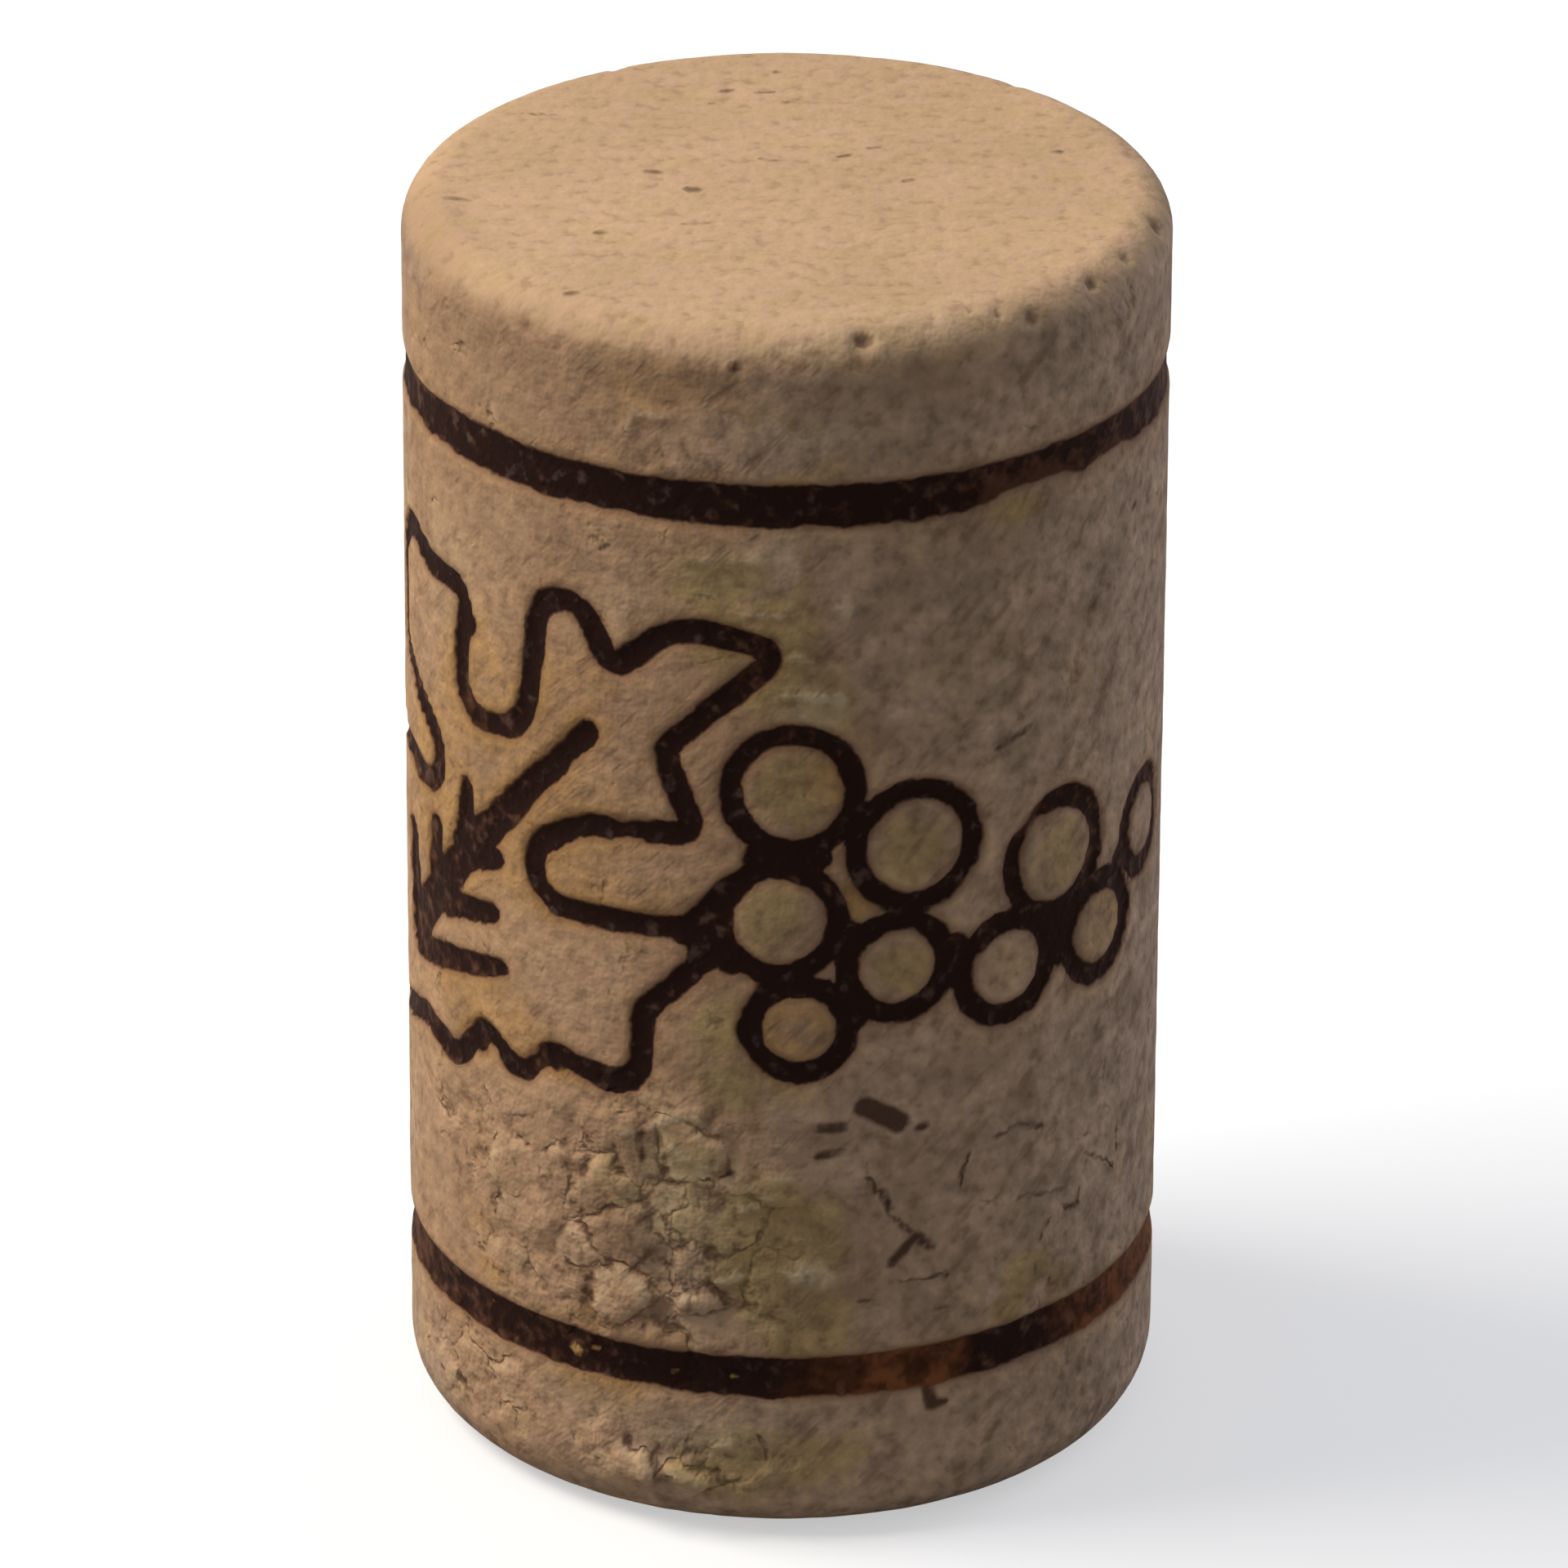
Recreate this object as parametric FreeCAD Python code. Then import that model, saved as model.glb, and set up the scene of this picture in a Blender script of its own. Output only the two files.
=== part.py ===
import FreeCAD, Part
import math
import os
from FreeCAD import Base, Vector

# A bottle cork of pressed cork grains, in millimetres. It is one solid piece with no core
# and no cap. It stands on its lower end, Z is its axis, and its ornament looks along -Y.

# Body
DIAMETER = 22.0
LENGTH = 38.0
TOP_EDGE_RADIUS = 1.2
BOTTOM_EDGE_RADIUS = 1.8

# Each rounded end edge is turned as this many narrow flats, which lie along its arc
EDGE_FLATS = 4

# Burnt marks: a hot iron leaves them a little below the surface of the side
BURN_DEPTH = 0.15
BAND_WIDTH = 1.3
TOP_BAND_INSET = 4.5
BOTTOM_BAND_INSET = 4.7
LEAF_LINE_WIDTH = 0.74
RING_LINE_WIDTH = 0.66

# The ornament is drawn flat and then wrapped round the side. Each place in it is (across, up)
# from its own middle, which stands this far above the middle of the space between the bands.
ORNAMENT_RAISE = 1.9

# Edge of the vine leaf, counterclockwise: middle and radius of each bend that it runs round.
# A radius above zero turns left, round a lobe, and one below zero turns right, in a notch.
LEAF_BENDS = (
    (-2.85, -2.05, 0.65),
    (-6.60, -0.45, -1.12),
    (-5.20, -1.10, -2.45),
    (-3.05, 1.95, 0.42),
    (-2.75, 3.95, -0.65),
    (-0.80, 7.20, 0.39),
    (-2.50, 5.90, 2.00),
    (-4.95, 6.95, -0.42),
    (-6.60, 7.10, 1.00),
    (-9.30, 4.75, -1.35),
    (-9.75, 4.50, -1.20),
    (-11.35, 6.55, 0.55),
    (-12.80, 8.30, -1.15),
    (-14.45, 6.25, 1.25),
    (-14.95, 4.00, 0.80),
    (-13.30, 1.10, -0.98),
    (-16.40, -1.10, 1.50),
    (-18.40, -3.60, -0.70),
    (-16.60, -6.90, 1.60),
    (-13.45, -8.75, -1.15),
    (-11.50, -7.15, 0.72),
    (-9.80, -7.10, -0.50),
    (-8.40, -6.50, 0.70),
    (-6.90, -6.85, -0.55),
    (-5.10, -5.70, 0.95),
    (-3.60, -4.45, -0.50),
)

# Veins of the leaf, thick at the root: start, its width, end, its width
VEINS = (
    (-14.5, -5.3, 1.40, -9.5, 0.1, 1.05),
    (-9.5, 0.1, 1.00, -5.8, 4.2, 0.72),
    (-14.2, -5.6, 0.90, -9.1, -4.3, 0.60),
    (-12.4, -3.4, 0.90, -9.5, -2.65, 0.68),
    (-10.9, -1.2, 1.30, -9.3, -0.85, 0.64),
    (-10.7, -0.2, 0.90, -10.7, 0.95, 0.50),
    (-12.7, -3.2, 1.00, -12.6, -1.2, 0.84),
    (-14.5, -5.0, 1.20, -14.9, -2.5, 1.20),
)

# Stalk that joins the leaf to the bunch: start, its width, end, its width
STALK = (-2.9, -1.50, 0.72, -1.45, 0.05, 0.76)

# Grapes: middle and radius of each burnt ring
GRAPES = (
    (0.25, 3.05, 1.78),
    (-0.12, -1.00, 1.67),
    (0.47, -4.40, 1.39),
    (3.82, 1.10, 1.77),
    (3.32, -2.63, 1.47),
    (8.70, -0.37, 1.75),
    (6.85, -3.40, 1.50),
    (10.70, -3.40, 1.46),
    (13.50, -1.20, 1.38),
)

# Spots where the marks ran together or the iron was held longer: middle and radius
RUN_SPOTS = (
    (-2.10, -1.75, 0.70),
    (-0.75, 1.00, 0.42),
    (0.10, 1.00, 0.50),
    (0.90, 1.02, 0.48),
    (1.90, -1.65, 0.55),
    (1.95, -3.60, 0.45),
    (5.05, -2.45, 0.58),
    (5.20, -3.30, 0.42),
    (8.75, -2.75, 0.70),
    (11.90, -1.75, 0.50),
    (8.85, -3.60, 0.40),
    (2.15, -4.10, 0.36),
    (-1.45, -2.25, 0.50),
    (-10.05, -7.10, 0.44),
    (-7.10, -6.55, 0.38),
    (-11.00, -0.60, 0.36),
    (-10.60, 6.10, 0.42),
)

# The sharpest bend that the iron can draw
SHARPEST_BEND = 0.03

# Extra reach of the cutting shapes past the surfaces that they cut
CUT_REACH = 0.4

# How near the flat drawing's plane a face is when it counts as lying in it
CLOSE = 0.01

radius = DIAMETER / 2
top_band_bottom = LENGTH - TOP_BAND_INSET - BAND_WIDTH
bottom_band_top = BOTTOM_BAND_INSET + BAND_WIDTH
ornament_height = (top_band_bottom + bottom_band_top) / 2 + ORNAMENT_RAISE


def arc_about(middle, size, start, sweep):
    """Arc round a middle, from a start angle through a signed sweep."""
    points = []
    for share in (0.0, 0.5, 1.0):
        angle = start + share * sweep
        points.append(middle + Vector(size * math.cos(angle), size * math.sin(angle), 0))
    return Part.Arc(*points).toShape()


def closed_belt(bends, shift):
    """Closed line of arcs and straight runs round the bends, moved to its own left by shift."""
    middles = [Vector(across, up, 0) for across, up, size in bends]
    turns = []
    for across, up, size in bends:
        if size > 0:
            turns.append(max(size - shift, SHARPEST_BEND))
        else:
            turns.append(min(size - shift, -SHARPEST_BEND))
    count = len(bends)
    headings = []
    for i in range(count):
        following = (i + 1) % count
        run = middles[following] - middles[i]
        lean = math.asin((turns[following] - turns[i]) / run.Length)
        headings.append(math.atan2(run.y, run.x) - lean)
    edges = []
    for i in range(count):
        start = headings[i - 1] - math.copysign(math.pi / 2, turns[i])
        sweep = (headings[i] - headings[i - 1]) % (2 * math.pi)
        if turns[i] < 0:
            sweep -= 2 * math.pi
        edges.append(arc_about(middles[i], abs(turns[i]), start, sweep))
    line = []
    for i in range(count):
        line.append(edges[i])
        leave = edges[i].valueAt(edges[i].LastParameter)
        arrive = edges[(i + 1) % count].valueAt(edges[(i + 1) % count].FirstParameter)
        line.append(Part.LineSegment(leave, arrive).toShape())
    return Part.Wire(line)


def leaf_edge():
    """The burnt line along the edge of the leaf."""
    outer = Part.Face(closed_belt(LEAF_BENDS, -LEAF_LINE_WIDTH / 2))
    inner = Part.Face(closed_belt(LEAF_BENDS, LEAF_LINE_WIDTH / 2))
    return outer.cut(inner).Faces[0]


def disc(across, up, size):
    return Part.Face(Part.Wire(Part.makeCircle(size, Vector(across, up, 0))))


def grape_ring(across, up, size):
    """The burnt outline of one grape."""
    half = RING_LINE_WIDTH / 2
    return disc(across, up, size + half).cut(disc(across, up, size - half)).Faces[0]


def tapered_stroke(start_across, start_up, start_width, end_across, end_up, end_width):
    """A burnt stroke with round ends that narrows from its start to its end."""
    bends = (
        (start_across, start_up, start_width / 2),
        (end_across, end_up, end_width / 2),
    )
    return Part.Face(closed_belt(bends, 0))


def flat_ornament():
    """All strokes of the leaf and the grapes, as flat faces joined where they touch."""
    strokes = [leaf_edge()]
    strokes += [tapered_stroke(*line) for line in VEINS + (STALK,)]
    strokes += [grape_ring(*grape) for grape in GRAPES]
    strokes += [disc(*spot) for spot in RUN_SPOTS]
    plates = [stroke.extrude(Vector(0, 0, 1)) for stroke in strokes]
    joined = plates[0].multiFuse(plates[1:]).removeSplitter()
    return [face for face in joined.Faces if face.BoundBox.ZMax < CLOSE]


def side_surface(size):
    """Endless cylinder whose seam is at the back, away from the ornament."""
    surface = Part.Cylinder()
    surface.Radius = size
    surface.rotate(FreeCAD.Placement(Vector(), FreeCAD.Rotation(Vector(0, 0, 1), 90)))
    return surface


def wrapped_wire(wire, surface):
    """The flat wire laid round a cylinder, with the ornament's middle at the front."""
    edges = []
    for edge in wire.OrderedEdges:
        flat = edge.Curve.toBSpline(edge.FirstParameter, edge.LastParameter)
        poles = []
        for pole in flat.getPoles():
            poles.append(Base.Vector2d(math.pi + pole.x / radius, ornament_height + pole.y))
        curve = Part.Geom2d.BSplineCurve2d()
        curve.buildFromPolesMultsKnots(
            poles, flat.getMultiplicities(), flat.getKnots(), False, flat.Degree, flat.getWeights())
        edges.append(curve.toShape(surface))
    return Part.Wire(edges)


def wrapped_plug(wire, inner_size, outer_size):
    """Solid between two cylinders whose rim is the wrapped wire."""
    inner_surface = side_surface(inner_size)
    outer_surface = side_surface(outer_size)
    inner = wrapped_wire(wire, inner_surface)
    outer = wrapped_wire(wire, outer_surface)
    walls = [Part.Face(inner_surface, inner), Part.Face(outer_surface, outer)]
    for low, high in zip(inner.OrderedEdges, outer.OrderedEdges):
        walls.append(Part.makeRuledSurface(low, high))
    shell = Part.Shell(walls)
    shell.sewShape()
    return Part.makeSolid(shell)


def ornament_cutter():
    """What the hot iron takes away, as solids that cross the surface of the side."""
    floor = radius - BURN_DEPTH
    above = radius + CUT_REACH
    cutters = []
    for face in flat_ornament():
        cutter = wrapped_plug(face.OuterWire, floor, above)
        for wire in face.Wires:
            if not wire.isSame(face.OuterWire):
                cutter = cutter.cut(wrapped_plug(wire, floor - CUT_REACH, above + CUT_REACH))
        cutters.append(cutter)
    return cutters


def round_edge(middle_height, size, start):
    """Outline of a rounded end edge: narrow flats along a quarter turn from the start angle."""
    points = []
    for i in range(EDGE_FLATS + 1):
        angle = start + math.pi / 2 * i / EDGE_FLATS
        out = radius - size + size * math.cos(angle)
        points.append((out, middle_height + size * math.sin(angle)))
    return points


def band_groove(bottom, top):
    """Outline of one burnt band, from its lower to its upper edge."""
    floor = radius - BURN_DEPTH
    return [(radius, bottom), (floor, bottom), (floor, top), (radius, top)]


def body():
    """Turned body with rounded ends and the two burnt bands."""
    outline = [(0, 0)]
    outline += round_edge(BOTTOM_EDGE_RADIUS, BOTTOM_EDGE_RADIUS, -math.pi / 2)
    outline += band_groove(BOTTOM_BAND_INSET, bottom_band_top)
    outline += band_groove(top_band_bottom, LENGTH - TOP_BAND_INSET)
    outline += round_edge(LENGTH - TOP_EDGE_RADIUS, TOP_EDGE_RADIUS, 0)
    outline += [(0, LENGTH), (0, 0)]
    half_section = Part.Face(Part.makePolygon([Vector(0, out, up) for out, up in outline]))
    return half_section.revolve(Vector(), Vector(0, 0, 1), 360)


cork = body()
for cutter in ornament_cutter():
    cork = cork.cut(cutter)

os.makedirs("parts", exist_ok=True)
cork.exportStep("parts/cork.step")
print("solids", len(cork.Solids), "faces", len(cork.Faces), "valid", cork.isValid())
print("volume", round(cork.Volume, 2), "box", cork.BoundBox)
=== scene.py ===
import math
from types import SimpleNamespace

import bpy
import numpy as np
from mathutils import Matrix, Vector
from mathutils.bvhtree import BVHTree


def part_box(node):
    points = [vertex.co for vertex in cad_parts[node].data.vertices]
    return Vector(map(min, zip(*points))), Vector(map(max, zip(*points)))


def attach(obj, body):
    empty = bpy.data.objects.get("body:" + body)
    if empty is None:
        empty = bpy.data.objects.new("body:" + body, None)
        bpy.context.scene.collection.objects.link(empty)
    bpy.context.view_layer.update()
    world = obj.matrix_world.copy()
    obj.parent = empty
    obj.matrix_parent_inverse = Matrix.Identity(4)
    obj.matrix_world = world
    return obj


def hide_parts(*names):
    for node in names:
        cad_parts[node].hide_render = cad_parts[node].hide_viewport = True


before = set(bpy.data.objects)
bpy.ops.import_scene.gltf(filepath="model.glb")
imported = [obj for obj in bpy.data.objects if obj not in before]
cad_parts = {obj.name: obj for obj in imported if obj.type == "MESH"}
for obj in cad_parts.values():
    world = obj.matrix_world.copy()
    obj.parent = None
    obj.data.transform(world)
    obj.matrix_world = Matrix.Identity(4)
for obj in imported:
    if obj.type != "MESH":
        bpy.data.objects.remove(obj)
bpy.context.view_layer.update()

# A bottle cork of pressed cork grains, burnt with two bands and a vine leaf with grapes.
# The cork's lengths are in millimetres until its mesh is made. A place on its side is
# (across, up): the way round from the middle of the front, to the right, and the height.

MM = 0.001
low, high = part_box("cork")
RADIUS = (high.x - low.x) / 2 / MM
LENGTH = (high.z - low.z) / MM

# Form of the body, as in the solid
TOP_EDGE = 1.2
BOTTOM_EDGE = 1.8
BURN_FLOOR = RADIUS - 0.15

# Spacing of the body's mesh
COLUMNS = 336
SIDE_STEP = 0.206
EDGE_STEP = 0.19
TOP_STEP = 0.26
BOTTOM_STEP = 0.55

# How near a height is when it counts as the same, and how far from a mark its reach is known
CLOSE = 0.001
FAR = 3.0

# Depth of the marks, and how far the grain's ups and downs reach
BURN_DEPTH = 0.10
GRANULE_STEP = 0.17
GRANULE_TILT = 0.23
CRACK_DEPTH = 0.10
WAVE_HEIGHT = 0.04
LUMP_HEIGHT = 0.03
FLAKE_HEIGHT = 0.10

# Width of a grain's rounded edge, and of the crack beside it
GRANULE_EDGE = 0.25
CRACK_WIDTH = 0.30

# Depth of what is too fine for the mesh
STREAK_DEPTH = 0.05
FINE_CRACK_DEPTH = 0.09
PIT_DEPTH = 0.03
HAIRLINE_DEPTH = 0.05
SPOT_DEPTH = 0.06
FINE_BURN_DEPTH = 0.03

# Size of each pattern, as cells or waves per millimetre
GRANULES_PER_MM = 0.42
BENDS_PER_MM = 0.9
WAVES_PER_MM = 0.32
LUMPS_PER_MM = 1.5
BROAD_PER_MM = 0.16
MIDDLING_PER_MM = 0.75
CRUMBS_PER_MM = 2.0
STREAKS_PER_MM = 1.6
PITS_PER_MM = 1.35

# How far the grains' edges are bent, how flat the grains lie, and how unevenly they are strewn
GRANULE_BEND = (1.7, 1.7, 1.7)
GRANULE_SQUASH = (1.0, 1.0, 1.25)
GRANULE_DISORDER = 0.95

# The side's streaks rise to the right: way round for each millimetre up, and their stretch
STREAK_LEAN = 0.9
STREAK_STRETCH = (1.0, 1.0, 0.45)
END_STREAK_STRETCH = (0.50, 1.2, 1.2)

# Colours of the cork, as they look in plain light
TAN = (0.590, 0.360, 0.214)
MAUVE = (0.575, 0.388, 0.258)
OLIVE = (0.515, 0.348, 0.162)
AMBER = (0.590, 0.325, 0.118)
# Smoky brown, also used as painted shade under the upper rim and on its left
SMOKE_AND_SHADE = (0.300, 0.185, 0.100)
END_TAN = (0.648, 0.430, 0.240)
END_PINK = (0.632, 0.408, 0.250)
# Pale cork, also used as painted highlight on the flakes, the grains' lips and the front of the upper rim
PALE_AND_HIGHLIGHT = (0.820, 0.635, 0.390)
GAP = (0.300, 0.170, 0.095)
# Dark stain colour, also used as painted shade in the cracks between the grains and in the rim's dents
STAIN_AND_SHADE = (0.095, 0.048, 0.028)
CHAR = (0.026, 0.011, 0.008)
BROWN_CHAR = (0.110, 0.046, 0.026)
# Grey painted highlight on the burnt marks
CHAR_HIGHLIGHT = (0.230, 0.165, 0.140)
SINGE = (0.200, 0.085, 0.042)
RUST = (0.285, 0.098, 0.036)

# How much the parts of the cork's colour cover what lies under them, at the most
OLIVE_SHARE = 0.95
AMBER_SHARE = 0.90
GAP_SHARE = 0.75
CRACK_SHADE_SHARE = 0.58
LIP_HIGHLIGHT_SHARE = 0.38
PIT_SHARE = 0.60
DENT_SHADE_SHARE = 0.60
STAIN_SHARE = 0.94
FLECK_HIGHLIGHT_SHARE = 0.60
HAIRLINE_SHARE = 0.85
SPOT_SHARE = 0.70
SINGE_SHARE = 0.60
RUST_AGAIN_SHARE = 0.75
CHAR_HIGHLIGHT_SHARE = 0.20

# Finish of the cork and of its burnt marks
GLOSS = 0.04
CORK_ROUGHNESS = 0.92
CHAR_ROUGHNESS = 0.78

# Heights where each part of the cork's colour begins and where it is full
UPPER_END = (LENGTH - 1.05, LENGTH - 0.45)
LOWER_END = (0.7, 0.2)
LOW_BAND = (7.0, 6.5)
# Height where the painted light near the foot fades out
PAINTED_LIGHT_FOOT = (3.6, 1.8)

# The same for the way round from the middle of the front
COOLER_LEFT = (-9.0, -17.0)
# Way round where the painted light near the foot begins
PAINTED_LIGHT_RIGHT = (-3.0, 1.0)
RIGHT_OF_FRONT = (32.0, 22.0)
BROWNER_RIGHT = (7.5, 13.0)
RUST_BEGINS = (-0.6, 2.6)
RUST_STOPS = (6.0, 5.0)
RUST_AGAIN = (8.2, 10.6)

# The lower band is browner round this place at the left: its middle, and how far on either side
BROWNER_LEFT = -19.0
BROWNER_LEFT_REACH = (11.5, 5.0)

# Camera, as it stood for the picture
CAMERA_TARGET = Vector((0, 0, LENGTH / 2))
CAMERA_DISTANCE = 336.95
CAMERA_HEIGHT_ANGLE = math.radians(25.556)
CAMERA_PITCH = math.radians(25.542)
CAMERA_ROLL = math.radians(0.299)
SENSOR = 36.0
FOCAL_PIXELS = 14143.0
FRAME_PIXELS = 1920.0

# Lamps: turn from the front to the right and height angle in degrees, distance and size in
# metres, brightness (1 shows what faces the lamp in its full colour), colour
LAMPS = (
    ("window", -94, 48, 0.40, 0.22, 0.90, (1.0, 0.955, 0.88)),
    ("cool_fill", 125, 20, 0.45, 0.25, 0.27, (0.62, 0.72, 1.0)),
)
SKY = (0.220, 0.227, 0.244)

# Floor: its reach in metres, its grey, and the darker grey with which it lights the cork
FLOOR_REACH = 2.0
FLOOR_GREY = (0.66, 0.66, 0.66, 1.0)
FLOOR_BOUNCE = (0.26, 0.26, 0.26, 1.0)

# Glow that keeps the floor white, near the cork and far from it, and where it rises, in metres
NEAR_GLOW = 0.50
FAR_GLOW = 0.90
GLOW_RISES_FROM = 0.12
GLOW_RISES_TO = 0.60

# Each soft round place below has its middle, half width, half height and strength.

# Places where the grains stand apart and the surface is cracked, and how far they do elsewhere
BROKEN_PLACES = (
    (-3.4, 9.4, 6.2, 7.0, 1.00),
    (-3.0, 2.6, 5.6, 2.0, 0.72),
    (3.0, 10.0, 3.4, 3.8, 0.26),
    (9.0, 6.8, 3.0, 2.4, 0.35),
    (-8.5, 8.0, 3.6, 3.6, 0.45),
    (-3.5, 34.2, 3.5, 1.6, 0.35),
    (-0.5, 28.0, 4.0, 3.0, 0.35),
    (22.0, 12.0, 6.0, 5.0, 0.60),
    (30.0, 26.0, 7.0, 5.0, 0.50),
    (-27.0, 9.0, 6.0, 5.0, 0.60),
    (-22.0, 30.0, 6.0, 4.0, 0.45),
    (10.5, 37.0, 3.5, 1.6, 0.50),
    (-10.0, 11.0, 4.5, 4.0, 0.50),
    (-10.5, 3.2, 5.0, 2.8, 0.58),
)
BROKEN_ON_SIDE = 0.20
BROKEN_ON_ENDS = 0.08

# Places where the cork is browner and warmer, as it is all over the left of the front
TANNED_PLACES = (
    (-10.0, 20.0, 17.5, 34.0, 1.00),
    (25.0, 8.0, 8.0, 12.0, 0.80),
    (-30.0, 30.0, 8.0, 10.0, 0.70),
    (20.0, 30.0, 7.0, 8.0, 0.60),
)

# Smoky brown smudges, and painted shade under the upper rim and on the rim's left
SMOKY_AND_SHADED_PLACES = (
    (-5.0, 36.5, 4.5, 1.1, 0.40),
    (4.6, 36.3, 3.4, 1.0, 0.36),
    (1.0, 36.3, 1.8, 0.7, 0.24),
    (9.0, 36.4, 2.0, 0.8, 0.18),
    (-1.75, 36.5, 0.8, 0.55, 0.55),
    (-2.3, 36.6, 0.7, 0.45, 0.30),
    (-6.2, 36.0, 1.0, 0.6, 0.35),
    (0.9, 13.0, 1.3, 0.8, 0.45),
    (-5.95, 6.5, 0.6, 0.55, 0.85),
    (2.4, 25.7, 1.2, 0.9, 0.60),
    (7.6, 13.3, 0.5, 0.8, 0.60),
    (8.0, 7.3, 0.5, 0.5, 0.70),
    (8.9, 6.7, 0.5, 0.4, 0.70),
    (2.0, 8.1, 0.9, 0.6, 0.65),
    (1.6, 24.6, 1.6, 1.0, 0.25),
    (6.5, 31.0, 1.8, 1.0, 0.30),
    (6.6, 27.8, 1.2, 0.7, 0.35),
    (7.9, 28.7, 0.9, 0.5, 0.35),
    (9.9, 27.9, 0.9, 0.6, 0.45),
    (3.3, 10.0, 1.9, 4.4, 0.28),
    (3.2, 30.4, 1.6, 2.0, 0.24),
    (6.0, 15.0, 2.8, 1.2, 0.25),
    (-9.0, 8.9, 1.8, 2.4, 0.38),
    (-4.1, 12.6, 0.7, 0.9, 0.50),
    (-5.8, 10.4, 0.9, 0.6, 0.35),
    (-14.5, 37.4, 5.5, 1.1, 0.40),
    (19.0, 36.0, 6.0, 1.2, 0.40),
    (-20.0, 35.8, 7.0, 1.2, 0.35),
    (-10.0, 35.4, 8.5, 2.6, 0.42),
    (-9.5, 31.2, 8.0, 3.0, 0.20),
    (30.0, 36.2, 6.0, 1.0, 0.30),
    (-26.0, 14.0, 2.5, 1.2, 0.35),
)

# Paler places; the one on the front of the upper rim is a painted highlight
PALE_AND_HIGHLIT_PLACES = (
    (-3.0, 10.2, 2.2, 4.4, 0.26),
    (0.9, 8.7, 1.1, 0.7, 0.55),
    (0.9, 26.6, 1.3, 1.1, 0.50),
    (1.0, 35.0, 2.2, 0.9, 0.24),
    (0.4, 31.5, 2.6, 0.9, 0.20),
    (3.4, 37.6, 6.0, 0.8, 0.16),
    (-2.0, 3.2, 2.2, 0.8, 0.30),
    (-6.2, 3.8, 3.0, 1.2, 0.26),
    (-2.6, 8.6, 1.2, 1.2, 0.16),
    (-11.5, 28.0, 2.0, 3.0, 0.18),
    (-4.5, 29.5, 2.0, 1.4, 0.14),
    (24.0, 24.0, 4.0, 5.0, 0.22),
    (-26.0, 20.0, 5.0, 4.0, 0.20),
)

# Places where the burnt marks are worn thin
WORN_PLACES = (
    (7.6, 32.5, 2.6, 0.8, 0.30),
    (11.0, 32.4, 1.8, 0.5, 0.22),
    (-14.0, 33.7, 2.5, 0.7, 0.30),
    (7.4, 22.2, 1.0, 0.9, 0.22),
    (15.0, 20.2, 1.4, 1.8, 0.10),
    (12.8, 22.0, 1.2, 1.0, 0.22),
    (-7.6, 14.2, 1.0, 0.8, 0.14),
    (-9.8, 13.8, 0.9, 0.8, 0.14),
    (-4.6, 22.4, 0.8, 0.6, 0.14),
    (26.0, 32.9, 3.0, 1.0, 0.35),
    (-24.0, 5.4, 3.0, 1.0, 0.30),
)

# Yellowish olive places
OLIVE_PLACES = (
    (-0.4, 9.4, 2.6, 3.8, 1.00),
    (0.8, 6.8, 2.2, 2.2, 0.80),
    (-3.4, 11.4, 2.6, 3.4, 0.45),
    (-2.0, 30.6, 2.6, 1.4, 0.70),
    (0.6, 34.6, 4.5, 1.6, 0.30),
    (6.9, 31.9, 1.5, 0.7, 0.85),
    (0.2, 24.0, 1.6, 1.6, 0.70),
    (-0.2, 20.0, 1.5, 1.6, 0.60),
    (3.8, 22.0, 1.6, 1.6, 0.60),
    (3.4, 18.2, 1.4, 1.4, 0.50),
    (8.8, 20.6, 1.8, 1.8, 0.50),
    (10.5, 16.8, 2.5, 1.6, 0.35),
    (-1.8, 16.6, 1.6, 1.6, 0.50),
    (7.7, 7.5, 1.3, 0.9, 1.20),
    (7.0, 6.6, 0.9, 0.7, 1.20),
    (9.2, 6.8, 0.8, 0.8, 1.10),
    (-0.5, 2.6, 4.5, 1.8, 0.60),
    (0.9, 26.8, 1.8, 1.6, 0.70),
    (1.2, 10.0, 1.4, 2.4, 0.70),
    (-0.6, 28.6, 3.0, 3.2, 0.55),
    (5.6, 27.5, 3.0, 2.0, 0.25),
    (-1.0, 14.8, 2.6, 1.2, 0.45),
    (24.0, 10.0, 4.0, 4.0, 0.40),
    (-28.0, 27.0, 5.0, 4.0, 0.28),
)

# Scorched amber places
AMBER_PLACES = (
    (-10.2, 25.0, 3.0, 4.0, 0.90),
    (-6.5, 26.0, 2.6, 2.4, 0.60),
    (-12.0, 21.0, 4.0, 4.6, 0.90),
    (-7.5, 20.2, 3.6, 2.0, 0.85),
    (-9.8, 15.0, 4.0, 2.0, 0.75),
    (-8.0, 22.0, 6.0, 5.0, 0.50),
    (-5.6, 4.3, 2.0, 0.9, 0.90),
    (-4.0, 36.2, 3.0, 1.4, 0.45),
    (1.4, 24.4, 1.2, 1.2, 0.55),
    (2.0, 20.6, 0.8, 0.9, 0.90),
    (1.9, 18.6, 0.5, 0.5, 1.00),
    (0.4, 16.6, 1.4, 1.4, 0.85),
    (-4.6, 20.4, 2.6, 1.4, 0.45),
    (10.9, 17.8, 1.3, 1.5, 0.55),
    (6.9, 17.6, 1.2, 1.2, 0.35),
    (-10.2, 8.3, 1.2, 1.0, 0.50),
    (-10.6, 11.0, 1.0, 1.6, 0.35),
    (-9.5, 6.8, 1.4, 0.6, 0.75),
    (-5.9, 6.6, 0.7, 0.7, 0.90),
    (-7.0, 14.3, 2.4, 0.7, 0.55),
    (3.0, 37.3, 6.0, 0.9, 0.55),
)

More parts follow.
